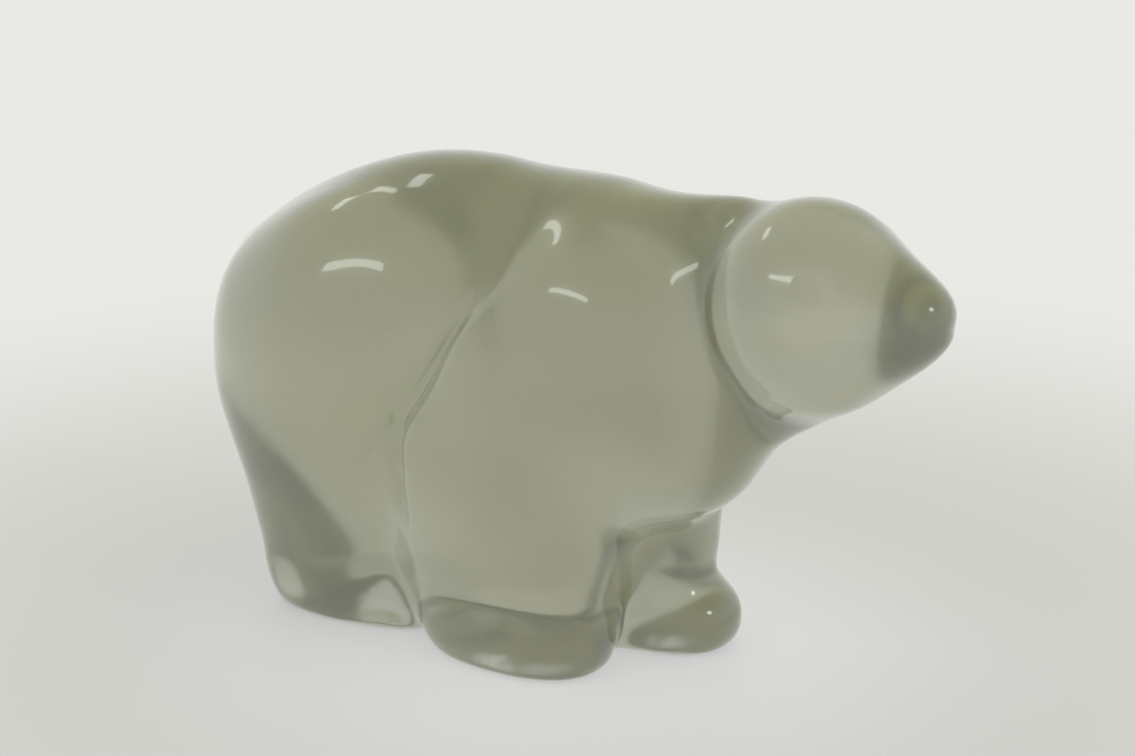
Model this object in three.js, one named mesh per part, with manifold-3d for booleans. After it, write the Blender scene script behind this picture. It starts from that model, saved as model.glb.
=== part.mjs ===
// Glass polar bear figurine: one solid casting of a bear that stands foursquare, nose along +X, in millimetres.
// The bear is sculpted as clay is, from rounded lumps that melt into each other, and its soles are cut flat at z = 0.
import * as THREE from "three";
import { MarchingCubes } from "three/addons/objects/MarchingCubes.js";
import { mergeVertices } from "three/addons/utils/BufferGeometryUtils.js";
import Module from "manifold-3d";

// Driving dimensions
const LENGTH = 140; // rump to nose
const BACK_HEIGHT = 82.3; // floor to the top of the hindquarters
const WITHERS_HEIGHT = 80.8; // floor to the top of the shoulders
const CROWN_HEIGHT = 83.1; // floor to the top of the head
const HAUNCH_WIDTH = 50; // across the hindquarters
const CHEEK_WIDTH = 32; // across the head
const MUZZLE_WIDTH = 18.8; // across the muzzle
const FOREPAW_SPREAD = 21; // between the middles of the forepaws, from side to side
const HIND_PAW_SPREAD = 16.4; // the same for the hind paws
const FRONT_STEP = 12; // the left forepaw stands this far ahead of the right one
const HIND_STEP = 5; // and the left hind paw ahead of its own pair

// How fine the surface is
const CELL = 3; // edge of a sampling cell
const RELAX_ROUNDS = 12; // passes that even out the triangles
const SETTLE_STEPS = 3; // Newton steps that bring a vertex onto the surface
const SOLE_SNAP = 0.5; // a vertex this close to the floor is set on it before the soles are cut

const RIGHT = -1;
const LEFT = 1;
const RUMP_X = -LENGTH / 2;
const NOSE_X = LENGTH / 2;

// One lump of clay: a rounded block whose half sizes are radii, boxier as power rises above 2.
// pitch tips its front end down, in degrees, and blend is how far its joint with the others is filled.
function lump(centre, radii, { power = 2, pitch = 0, blend = 6 } = {}) {
  const turn = THREE.MathUtils.degToRad(pitch);
  return { centre, radii, power, blend, cos: Math.cos(turn), sin: Math.sin(turn) };
}

// The body without its limbs: back, hindquarters, tail, shoulders, chest and neck.
function trunk() {
  return [
    lump([RUMP_X + 51.5, 0, BACK_HEIGHT - 27], [41, 20, 27]),
    lump([RUMP_X + 31.8, 0, 46], [30.9, HAUNCH_WIDTH / 2, 26], { power: 2.4, blend: 8 }),
    lump([RUMP_X + 6.4, 0, 55], [5.2, 6, 8], { blend: 7 }),
    lump([NOSE_X - 61.8, 0, WITHERS_HEIGHT - 25.5], [25, 21, 25.5], { blend: 8 }),
    lump([NOSE_X - 53.8, 0, 42.5], [19.8, 16.5, 17], { blend: 8 }),
    lump([NOSE_X - 38.8, 0, WITHERS_HEIGHT - 19.3], [22, 12, 19.7], { blend: 8 }),
  ];
}

// The webs of glass that join the legs under the belly, and the one that fills the left flank between them.
function webs() {
  return [
    lump([-23, 0, 24], [18, 14.5, 21], { power: 2.4 }),
    lump([0, 0, 22], [11, 8, 22]),
    lump([-43, 0, 22], [13, 9, 22]),
    lump([-17, LEFT * 12, 28], [18, 10, 26], { blend: 7 }),
  ];
}

// The head: skull, jaw and muzzle, turned a little to the bear's right.
function head() {
  return [
    lump([NOSE_X - 24.4, -1.5, CROWN_HEIGHT - 16.5], [16.2, CHEEK_WIDTH / 2, 16.5], { blend: 3 }),
    lump([NOSE_X - 20.5, -2, 58.8], [12, 9.5, 6.8], { pitch: -25, blend: 6 }),
    lump([NOSE_X - 12.2, -3.6, 67.2], [12.2, MUZZLE_WIDTH / 2, 8.9], { blend: 6 }),
  ];
}

// A foreleg: upper arm from the shoulder back to the elbow, forearm and paw.
function foreleg(side) {
  const ahead = side === LEFT ? FRONT_STEP : 0;
  return [
    lump([ahead / 2 + 1.2, side * 11.5, 46], [18, 12.5, 29], { power: 2.2, pitch: 33, blend: 7 }),
    lump([ahead / 2 - 11.5, side * 12.5, 37], [15, 10.5, 14], { blend: 3 }),
    lump([ahead * 0.58 - 4.6, side * 10, 24], [19, 11, 24], { power: 2.6, blend: 4 }),
    lump([ahead - 3.4, (side * FOREPAW_SPREAD) / 2, 5], [17.2, 10.8, 8.5], { power: 2.3, blend: 4 }),
  ];
}

// A hind leg: the haunch, the shank and the long paw.
function hindleg(side) {
  const ahead = side === LEFT ? HIND_STEP : 0;
  return [
    lump([ahead / 2 - 39, side * 11, 42], [21.2, 13.8, 32], { pitch: 8, blend: 6 }),
    lump([ahead - 43.3, side * 9, 22], [14.5, 10, 24], { power: 2.6, blend: 6 }),
    lump([ahead - 38, (side * HIND_PAW_SPREAD) / 2, 5], [17.8, 8.7, 8.5], { power: 2.3, blend: 5 }),
  ];
}

// The fold behind the right upper arm: a blade that is cut into the flank, from the elbow up to the withers.
function armFold() {
  return lump([-10.5, RIGHT * 24, 54.5], [2.6, 4, 23], { pitch: 33, blend: 4 });
}

const legs = [RIGHT, LEFT].flatMap((side) => [...hindleg(side), ...foreleg(side)]);
const lumps = [...trunk(), ...webs(), ...head(), ...legs];
const folds = [armFold()];

// Distance from a lump's surface, negative inside, exact to first order.
function lumpDistance({ centre, radii, power, cos, sin }, x, y, z) {
  const dx = x - centre[0];
  const dz = z - centre[2];
  const local = [dx * cos - dz * sin, y - centre[1], dx * sin + dz * cos];
  let sum = 0;
  let slope = 0;
  for (let i = 0; i < 3; i++) {
    const share = Math.abs(local[i]) / radii[i];
    const lower = share ** (power - 1);
    sum += lower * share;
    slope += (lower / radii[i]) ** 2;
  }
  if (sum < 1e-9) return -Math.min(...radii);
  const reach = sum ** (1 / power);
  return ((reach - 1) * reach ** (power - 1)) / Math.sqrt(slope);
}

// Joins two distances with a fillet that is fill deep.
function melt(a, b, fill) {
  const overlap = Math.max(fill - Math.abs(a - b), 0) / fill;
  return Math.min(a, b) - (overlap * overlap * fill) / 4;
}

// Distance from the bear's surface, before its soles are cut.
function bearDistance(x, y, z) {
  const body = lumps.reduce(
    (nearest, piece) => melt(nearest, lumpDistance(piece, x, y, z), piece.blend),
    Infinity,
  );
  return folds.reduce(
    (nearest, piece) => -melt(-nearest, lumpDistance(piece, x, y, z), piece.blend),
    body,
  );
}

// The bear's surface as triangles, found by marching cubes through a block of cells.
function rawSurface() {
  const cells = Math.ceil((LENGTH + 8 * CELL) / CELL);
  const side = cells * CELL;
  const corner = [-side / 2, -side / 2, -6 * CELL];
  const clay = new MarchingCubes(cells, new THREE.MeshBasicMaterial(), false, false, 20000);
  clay.isolation = 0;
  for (let k = 0, i = 0; k < cells; k++) {
    for (let j = 0; j < cells; j++) {
      for (let h = 0; h < cells; h++, i++) {
        clay.field[i] = -bearDistance(corner[0] + h * CELL, corner[1] + j * CELL, corner[2] + k * CELL);
      }
    }
  }
  clay.update();
  const positions = clay.positionArray.slice(0, clay.count * 3);
  for (let i = 0; i < positions.length; i++) {
    positions[i] = corner[i % 3] + ((positions[i] + 1) * side) / 2;
  }
  const surface = new THREE.BufferGeometry();
  surface.setAttribute("position", new THREE.BufferAttribute(positions, 3));
  return mergeVertices(surface, 1e-3);
}

// Moves a point along the surface's normal until it lies on the bear.
function settle(point) {
  const probe = 0.05;
  for (let step = 0; step < SETTLE_STEPS; step++) {
    const [x, y, z] = point;
    const here = bearDistance(x, y, z);
    const slope = [
      (bearDistance(x + probe, y, z) - bearDistance(x - probe, y, z)) / (2 * probe),
      (bearDistance(x, y + probe, z) - bearDistance(x, y - probe, z)) / (2 * probe),
      (bearDistance(x, y, z + probe) - bearDistance(x, y, z - probe)) / (2 * probe),
    ];
    const steepness = slope[0] ** 2 + slope[1] ** 2 + slope[2] ** 2;
    for (let i = 0; i < 3; i++) point[i] -= (here * slope[i]) / steepness;
  }
}

// Each vertex drifts to the middle of its neighbours and back onto the surface, so that the triangles even out.
function relax(surface) {
  const { array } = surface.attributes.position;
  const index = surface.index.array;
  const neighbours = Array.from({ length: array.length / 3 }, () => new Set());
  for (let i = 0; i < index.length; i += 3) {
    for (let j = 0; j < 3; j++) {
      neighbours[index[i + j]].add(index[i + ((j + 1) % 3)]);
      neighbours[index[i + j]].add(index[i + ((j + 2) % 3)]);
    }
  }
  for (let round = 0; round < RELAX_ROUNDS; round++) {
    const before = array.slice();
    neighbours.forEach((near, vertex) => {
      const point = [0, 0, 0];
      for (const other of near) {
        for (let i = 0; i < 3; i++) point[i] += before[other * 3 + i] / near.size;
      }
      settle(point);
      if (Math.abs(point[2]) < SOLE_SNAP && round === RELAX_ROUNDS - 1) point[2] = 0;
      array.set(point, vertex * 3);
    });
  }
}

const wasm = await Module();
wasm.setup();

function toSolid(geometry) {
  const triangles = [];
  const index = geometry.index.array;
  for (let i = 0; i < index.length; i += 3) {
    const [a, b, c] = index.slice(i, i + 3);
    if (a !== b && b !== c && c !== a) triangles.push(a, b, c);
  }
  return new wasm.Manifold(
    new wasm.Mesh({
      numProp: 3,
      vertProperties: new Float32Array(geometry.attributes.position.array),
      triVerts: new Uint32Array(triangles),
    }),
  );
}

function toGeometry(solid) {
  const { vertProperties, triVerts } = solid.getMesh();
  const geometry = new THREE.BufferGeometry();
  geometry.setAttribute("position", new THREE.BufferAttribute(vertProperties, 3));
  geometry.setIndex(new THREE.BufferAttribute(triVerts, 1));
  geometry.computeVertexNormals();
  return geometry;
}

// The block below the floor that cuts the soles flat.
function belowFloor() {
  const block = new THREE.BoxGeometry(2 * LENGTH, 2 * LENGTH, LENGTH).translate(0, 0, -LENGTH / 2);
  block.deleteAttribute("normal");
  block.deleteAttribute("uv");
  return mergeVertices(block);
}

const surface = rawSurface();
relax(surface);
const bear = toSolid(surface).subtract(toSolid(belowFloor()));

const glass = new THREE.MeshStandardMaterial({ color: 0x94967f, roughness: 0.05, metalness: 0 });
const figurine = new THREE.Group();
const mesh = new THREE.Mesh(toGeometry(bear), glass);
mesh.name = "polar_bear";
figurine.add(mesh);

export default figurine;
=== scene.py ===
# Glass polar bear figurine: a smooth solid casting of clear glass on a pale table top.
import math

import bmesh
import bpy
import numpy as np
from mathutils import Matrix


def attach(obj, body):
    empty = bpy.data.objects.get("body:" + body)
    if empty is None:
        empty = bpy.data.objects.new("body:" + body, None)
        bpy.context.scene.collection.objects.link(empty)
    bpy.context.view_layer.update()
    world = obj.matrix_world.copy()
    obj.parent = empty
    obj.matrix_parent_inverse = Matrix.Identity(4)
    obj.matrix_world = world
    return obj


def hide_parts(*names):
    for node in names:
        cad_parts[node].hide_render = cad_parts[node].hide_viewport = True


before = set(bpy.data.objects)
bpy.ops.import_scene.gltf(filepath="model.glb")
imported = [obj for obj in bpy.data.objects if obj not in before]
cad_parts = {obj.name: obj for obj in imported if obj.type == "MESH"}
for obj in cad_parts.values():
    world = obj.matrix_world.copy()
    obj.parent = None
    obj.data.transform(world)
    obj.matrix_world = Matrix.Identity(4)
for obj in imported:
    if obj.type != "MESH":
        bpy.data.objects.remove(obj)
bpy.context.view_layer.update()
print("frame loaded")


# sRGB hex colour to linear light
def linear(hexColour):
    parts = [int(hexColour[i:i + 2], 16) / 255 for i in (0, 2, 4)]
    return tuple(p / 12.92 if p <= 0.04045 else ((p + 0.055) / 1.055) ** 2.4 for p in parts)


# Adds a node with its settings and links
def addNode(tree, kind, values=None, links=None, **settings):
    node = tree.nodes.new(kind)
    for name, value in settings.items():
        setattr(node, name, value)
    for name, value in (values or {}).items():
        node.inputs[name].default_value = value
    for name, source in (links or {}).items():
        tree.links.new(source, node.inputs[name])
    return node


# The bear is sculpted from the same lumps as the solid, in millimetres, with the finer forms added
bear = {
    "rump": -70.0,
    "nose": 70.0,
    "backHeight": 82.3,
    "withersHeight": 80.8,
    "crownHeight": 83.1,
    "haunchWidth": 50.0,
    "cheekWidth": 32.0,
    "muzzleWidth": 18.8,
    "forepawSpread": 21.0,
    "hindPawSpread": 16.4,
    "frontStep": 12.0,  # the left forepaw stands this far ahead
    "hindStep": 5.0,  # and so does the left hind paw
    "soleRound": 1.6,
    "cuts": 2,  # how often the solid's triangles are split
    "evenRounds": 6,  # passes that even out the triangles
    "drift": 0.6,  # how far each pass moves a point
    "settleSteps": 2,  # steps that bring a point onto the surface
}
right = -1
left = 1
perMetre = 1000  # the sculpt is in millimetres, the frame in metres


# One lump of the sculpt: a rounded block whose half sizes are radii, boxier as power rises above 2.
# pitch tips its front end down, in degrees, and blend is how far its joint with the others is filled.
def lump(centre, radii, power=2.0, pitch=0.0, blend=6.0):
    return {"centre": centre, "radii": radii, "power": power, "pitch": math.radians(pitch), "blend": blend}


# Back, hindquarters, tail, shoulders, chest and neck
def trunkLumps():
    rump = bear["rump"]
    nose = bear["nose"]
    withers = bear["withersHeight"]
    return [
        lump((rump + 51.5, 0, bear["backHeight"] - 27), (41, 20, 27)),
        lump((rump + 31.8, 0, 46), (30.9, bear["haunchWidth"] / 2, 26), power=2.4, blend=8),
        lump((rump + 6.4, 0, 55), (5.2, 6, 8), blend=7),
        lump((nose - 61.8, 0, withers - 25.5), (25, 21, 25.5), blend=8),
        lump((nose - 53.8, 0, 42.5), (19.8, 16.5, 17), blend=8),
        lump((nose - 38.8, 0, withers - 19.3), (22, 12, 19.7), blend=8),
    ]


# Webs of glass that join the legs under the belly, and the one that fills the left flank
def webLumps():
    return [
        lump((-23, 0, 24), (18, 14.5, 21), power=2.4),
        lump((0, 0, 22), (11, 8, 22)),
        lump((-43, 0, 22), (13, 9, 22)),
        lump((-17, left * 12, 28), (18, 10, 26), blend=7),
    ]


# Skull, jaw and muzzle, turned a little to the bear's right
def headLumps():
    nose = bear["nose"]
    return [
        lump((nose - 24.4, -1.5, bear["crownHeight"] - 16.5), (16.2, bear["cheekWidth"] / 2, 16.5), blend=3),
        lump((nose - 20.5, -2, 58.8), (12, 9.5, 6.8), pitch=-25, blend=6),
        lump((nose - 12.2, -3.6, 67.2), (12.2, bear["muzzleWidth"] / 2, 8.9), blend=6),
    ]


# Upper arm, elbow, forearm and paw
def forelegLumps(side):
    ahead = bear["frontStep"] if side == left else 0
    paw = side * bear["forepawSpread"] / 2
    return [
        lump((ahead / 2 + 1.2, side * 11.5, 46), (18, 12.5, 29), power=2.2, pitch=33, blend=7),
        lump((ahead / 2 - 11.5, side * 12.5, 37), (15, 10.5, 14), blend=3),
        lump((ahead * 0.58 - 4.6, side * 10, 24), (19, 11, 24), power=2.6, blend=8),
        lump((ahead - 3.4, paw, 5), (17.2, 10.8, 8.5), power=2.3, blend=4),
    ]


# Haunch, shank and the long hind paw
def hindlegLumps(side):
    ahead = bear["hindStep"] if side == left else 0
    paw = side * bear["hindPawSpread"] / 2
    return [
        lump((ahead / 2 - 39, side * 11, 42), (21.2, 13.8, 32), pitch=8, blend=6),
        lump((ahead - 43.3, side * 9, 22), (14.5, 10, 24), power=2.6, blend=6),
        lump((ahead - 38, paw, 5), (17.8, 8.7, 8.5), power=2.3, blend=5),
    ]


# The fold behind the right upper arm, from the withers to the elbow, and on down the back of the foreleg
def armFolds():
    return [
        lump((-10.5, right * 24.3, 54.5), (1.8, 4, 23), pitch=33, blend=2),
        lump((-20, right * 23.4, 32), (1.4, 3.4, 12), pitch=4, blend=2),
    ]


# A shallow swell of the surface, or a hollow where rise is negative
def swell(at, spread, rise):
    return {"at": np.array(at), "spread": np.array(spread), "rise": rise}


# Shallow relief on the casting
def reliefSwells():
    swells = [
        swell((68.5, -5, 70.5), (3, 4.5, 2.5), 0.35),  # nose pad
        swell((68.5, -4.2, 66.6), (5, 7, 1.2), -0.35),  # mouth
        swell((-39, right * 23, 60), (9, 9, 8), 0.6),  # right haunch, from the back forwards
        swell((-27, right * 21, 61), (8, 9, 8), -0.6),
        swell((-13, right * 20, 60), (9, 9, 8), 1.4),
        swell((-1, right * 20, 69), (5, 9, 7), -0.7),  # hollow above the fold
        swell((3, right * 17, 75), (6, 9, 7), -0.8),
    ]
    for side in (right, left):
        step = bear["frontStep"] if side == left else 0
        swells += [
            swell((53.5, side * 10 - 2, 76.5), (5, 3, 2.2), 0.35),  # brow
            swell((53.2, side * 12.6 - 2, 73), (3.4, 3, 2.6), -0.35),  # eye
            swell((step, side * 18, 12.4), (13, 6, 1.4), -0.35),  # ledge above the forepaw
        ]
    return swells


lumps = trunkLumps() + webLumps() + headLumps()
for side in (right, left):
    lumps += hindlegLumps(side) + forelegLumps(side)
folds = armFolds()
relief = reliefSwells()


# Distance of points from one lump, negative inside
def lumpDistance(piece, points):
    offset = points - np.array(piece["centre"])
    cos = math.cos(piece["pitch"])
    sin = math.sin(piece["pitch"])
    along = offset[:, 0] * cos - offset[:, 2] * sin
    upward = offset[:, 0] * sin + offset[:, 2] * cos
    local = np.stack([along, offset[:, 1], upward], axis=1)
    radii = np.array(piece["radii"])
    power = piece["power"]
    share = np.abs(local) / radii + 1e-9  # never quite nought, so that the slope isn't either
    lower = share if power == 2 else share ** (power - 1)
    total = (lower * share).sum(axis=1)
    slope = np.sqrt(((lower / radii) ** 2).sum(axis=1))
    reach = total ** (1 / power)
    return (reach - 1) * reach ** (power - 1) / slope


# Joins two distances with a fillet
def melt(a, b, fill):
    overlap = np.maximum(fill - np.abs(a - b), 0) / fill
    return np.minimum(a, b) - overlap * overlap * fill / 4


# Distance from the bear, with its soles cut flat at the table and their edges rounded
def bearDistance(points):
    nearest = np.full(len(points), 1e6)
    for piece in lumps:
        nearest = melt(nearest, lumpDistance(piece, points), piece["blend"])
    for piece in folds:
        nearest = -melt(-nearest, lumpDistance(piece, points), piece["blend"])
    for spot in relief:
        apart = (points - spot["at"]) / spot["spread"]
        nearest = nearest - spot["rise"] * np.exp(-(apart ** 2).sum(axis=1))
    return -melt(-nearest, points[:, 2], bear["soleRound"])


# Brings points onto the bear's surface
def settle(points, steps):
    probe = 0.03
    leastSteepness = 0.05
    for step in range(steps):
        here = bearDistance(points)
        slope = np.empty_like(points)
        for axis in range(3):
            shift = np.zeros(3)
            shift[axis] = probe
            slope[:, axis] = (bearDistance(points + shift) - bearDistance(points - shift)) / (2 * probe)
        steepness = np.maximum((slope ** 2).sum(axis=1), leastSteepness)
        points = points - slope * (here / steepness)[:, None]
    return points


# Moves each point part of the way to the middle of its neighbours
def evenOut(points, edges):
    total = np.zeros_like(points)
    count = np.zeros(len(points))
    for a, b in ((0, 1), (1, 0)):
        np.add.at(total, edges[:, a], points[edges[:, b]])
        np.add.at(count, edges[:, a], 1)
    return points + bear["drift"] * (total / count[:, None] - points)


# A copy of the solid with its triangles split
def fineCopy(node):
    sculpt = bmesh.new()
    sculpt.from_mesh(node.data)
    bmesh.ops.remove_doubles(sculpt, verts=sculpt.verts, dist=1e-6)
    for cut in range(bear["cuts"]):
        bmesh.ops.subdivide_edges(sculpt, edges=sculpt.edges, cuts=1, use_grid_fill=True)
        bmesh.ops.triangulate(sculpt, faces=sculpt.faces)
    mesh = bpy.data.meshes.new("glass_bear")
    sculpt.to_mesh(mesh)
    sculpt.free()
    return mesh


def makeBear(node):
    mesh = fineCopy(node)
    points = np.empty(len(mesh.vertices) * 3)
    mesh.vertices.foreach_get("co", points)
    points = points.reshape(-1, 3) * perMetre
    edges = np.empty(len(mesh.edges) * 2, dtype=np.int32)
    mesh.edges.foreach_get("vertices", edges)
    edges = edges.reshape(-1, 2)
    points = settle(points, bear["settleSteps"])
    for turn in range(bear["evenRounds"]):
        points = settle(evenOut(points, edges), 1)
    points = settle(points, bear["settleSteps"])
    mesh.vertices.foreach_set("co", (points / perMetre).ravel())
    mesh.materials.clear()
    mesh.shade_smooth()
    mesh.update()
    piece = bpy.data.objects.new("glass_bear", mesh)
    bpy.context.scene.collection.objects.link(piece)
    return piece


# Pressed soda-lime glass, fire polished: sharp highlights outside, a soft view through it,
# a slight milky veil and an olive cast that deepens with the thickness
glass = {
    "tint": "CDCEC5",
    "roughness": 0.18,
    "ior": 1.5,
    "clear": 0.8,
    "polish": 0.03,
    "depthTint": "C0C47C",
    "density": 17.0,
}


def makeGlass():
    material = bpy.data.materials.new("soda_lime_glass")
    material.use_nodes = True
    tree = material.node_tree
    tree.nodes.clear()
    values = {
        "Base Color": (*linear(glass["tint"]), 1),
        "Roughness": glass["roughness"],
        "IOR": glass["ior"],
        "Transmission Weight": glass["clear"],
        "Coat Weight": 1.0,
        "Coat Roughness": glass["polish"],
        "Coat IOR": glass["ior"],
    }
    surface = addNode(tree, "ShaderNodeBsdfPrincipled", values)
    cast = {"Color": (*linear(glass["depthTint"]), 1), "Density": glass["density"]}
    depth = addNode(tree, "ShaderNodeVolumeAbsorption", cast)
    sources = {"Surface": surface.outputs["BSDF"], "Volume": depth.outputs["Volume"]}
    addNode(tree, "ShaderNodeOutputMaterial", links=sources)
    return material


glassBear = makeBear(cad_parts["polar_bear"])
glassBear.data.materials.append(makeGlass())
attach(glassBear, "root")
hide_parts("polar_bear")
print("bear:", len(glassBear.data.polygons), "faces")

# Table top, a sheet of matt pale acrylic whose surface gives off painted light: a brighter painted pool of
# light under the bear, a dimmer ring around it as painted shade, and an even brightness further out
table = {
    "colour": "BBBAC6",
    "light": "FDFDFF",
    "roughness": 0.6,
    "size": 4.0,
    "paintedPoolGlow": 0.44,
    "paintedShadeRingGlow": 0.26,
    "ringReach": 0.09,
    "rimGlow": 0.42,
    "rimReach": 0.26,
}


def makeAcrylic():
    material = bpy.data.materials.new("pale_acrylic_painted_glow")
    material.use_nodes = True
    tree = material.node_tree
    tree.nodes.clear()
    place = addNode(tree, "ShaderNodeTexCoord")
    fromMiddle = {"Vector": place.outputs["Object"]}
    reach = addNode(tree, "ShaderNodeVectorMath", links=fromMiddle, operation="LENGTH")
    toRing = {"From Max": table["ringReach"], "To Min": table["paintedPoolGlow"], "To Max": table["paintedShadeRingGlow"]}
    toRim = {
        "From Min": table["ringReach"],
        "From Max": table["rimReach"],
        "To Max": table["rimGlow"] - table["paintedShadeRingGlow"],
    }
    steps = []
    for span in (toRing, toRim):
        source = {"Value": reach.outputs["Value"]}
        steps.append(addNode(tree, "ShaderNodeMapRange", span, source, interpolation_type="SMOOTHSTEP"))
    both = {0: steps[0].outputs["Result"], 1: steps[1].outputs["Result"]}
    # Painted light given off by the surface: bright in the middle, a ring of painted shade, then even
    # further out
    paintedGlow = addNode(tree, "ShaderNodeMath", links=both, operation="ADD")
    values = {
        "Base Color": (*linear(table["colour"]), 1),
        "Roughness": table["roughness"],
        "Emission Color": (*linear(table["light"]), 1),
    }
    surface = addNode(tree, "ShaderNodeBsdfPrincipled", values, {"Emission Strength": paintedGlow.outputs["Value"]})
    addNode(tree, "ShaderNodeOutputMaterial", links={"Surface": surface.outputs["BSDF"]})
    return material


def makeTable():
    mesh = bpy.data.meshes.new("table_top")
    half = table["size"] / 2
    corners = [(-half, -half, 0), (half, -half, 0), (half, half, 0), (-half, half, 0)]
    mesh.from_pydata(corners, [], [(0, 1, 2, 3)])
    mesh.materials.append(makeAcrylic())
    piece = bpy.data.objects.new("table_top", mesh)
    bpy.context.scene.collection.objects.link(piece)


makeTable()


# Turns an item to a target, from an azimuth and elevation in degrees
def placeAt(item, target, azimuth, elevation, distance):
    a = math.radians(azimuth)
    e = math.radians(elevation)
    away = np.array([math.sin(a) * math.cos(e), -math.cos(a) * math.cos(e), math.sin(e)])
    item.location = np.array(target) + away * distance
    item.rotation_euler = (math.pi / 2 - e, 0, a)


# Soft studio room, pale at table level, with a dimmer and warmer ceiling
room = {"wall": "E8E8E6", "wallTo": 15, "ceiling": "D6D7B6", "ceilingFrom": 45}


def makeRoom():
    world = bpy.data.worlds.new("pale_room")
    bpy.context.scene.world = world
    world.use_nodes = True
    tree = world.node_tree
    tree.nodes.clear()
    toward = addNode(tree, "ShaderNodeTexCoord")
    height = addNode(tree, "ShaderNodeSeparateXYZ", links={"Vector": toward.outputs["Generated"]})
    fade = {
        "From Min": math.sin(math.radians(room["wallTo"])),
        "From Max": math.sin(math.radians(room["ceilingFrom"])),
    }
    level = addNode(tree, "ShaderNodeMapRange", fade, {"Value": height.outputs["Z"]})
    # Sockets 6 and 7 of a Mix node are its colours A and B
    colours = {6: (*linear(room["wall"]), 1), 7: (*linear(room["ceiling"]), 1)}
    paint = addNode(tree, "ShaderNodeMix", colours, {0: level.outputs["Result"]}, data_type="RGBA")
    background = addNode(tree, "ShaderNodeBackground", links={"Color": paint.outputs[2]})
    addNode(tree, "ShaderNodeOutputWorld", links={"Surface": background.outputs["Background"]})


makeRoom()

# Two strip lights on the left and a small square lamp on the right, which show on the glass as highlights
lamps = {
    "distance": 1.5,
    "target": (0, 0, 0.04),
    "each": [
        {"name": "high_strip", "azimuth": -96, "elevation": 47, "size": (0.35, 0.1), "power": 0.3},
        {"name": "low_strip", "azimuth": -12, "elevation": 34, "size": (0.8, 0.1), "power": 0.95},
        {"name": "side_lamp", "azimuth": 90, "elevation": 30, "size": (0.22, 0.22), "power": 1.0},
    ],
}


def makeLamps():
    for each in lamps["each"]:
        light = bpy.data.lights.new(each["name"], "AREA")
        light.shape = "RECTANGLE"
        light.size, light.size_y = each["size"]
        light.energy = each["power"]
        lamp = bpy.data.objects.new(each["name"], light)
        lamp.visible_transmission = False  # seen on the glass, not through it
        bpy.context.scene.collection.objects.link(lamp)
        placeAt(lamp, lamps["target"], each["azimuth"], each["elevation"], lamps["distance"])


makeLamps()

# Camera at the photograph's viewing angle
viewpoint = {
    "azimuth": 34,
    "elevation": 17,
    "distance": 0.42,
    "target": (0.0006, -0.002, 0.0472),
    "lens": 80.99,
    "sensor": 36,
    "nearest": 0.01,
}


def makeCamera():
    lens = bpy.data.cameras.new("photo_camera")
    lens.sensor_width = viewpoint["sensor"]
    lens.lens = viewpoint["lens"]
    lens.clip_start = viewpoint["nearest"]
    camera = bpy.data.objects.new("photo_camera", lens)
    bpy.context.scene.collection.objects.link(camera)
    placeAt(camera, viewpoint["target"], viewpoint["azimuth"], viewpoint["elevation"], viewpoint["distance"])
    bpy.context.scene.camera = camera


makeCamera()
bounces = 16  # enough for light to cross the glass and leave it again
for limit in ("max_bounces", "glossy_bounces", "transmission_bounces"):
    setattr(bpy.context.scene.cycles, limit, bounces)
bpy.context.scene.view_settings.view_transform = "Standard"
print("table, room, lamps and camera set")
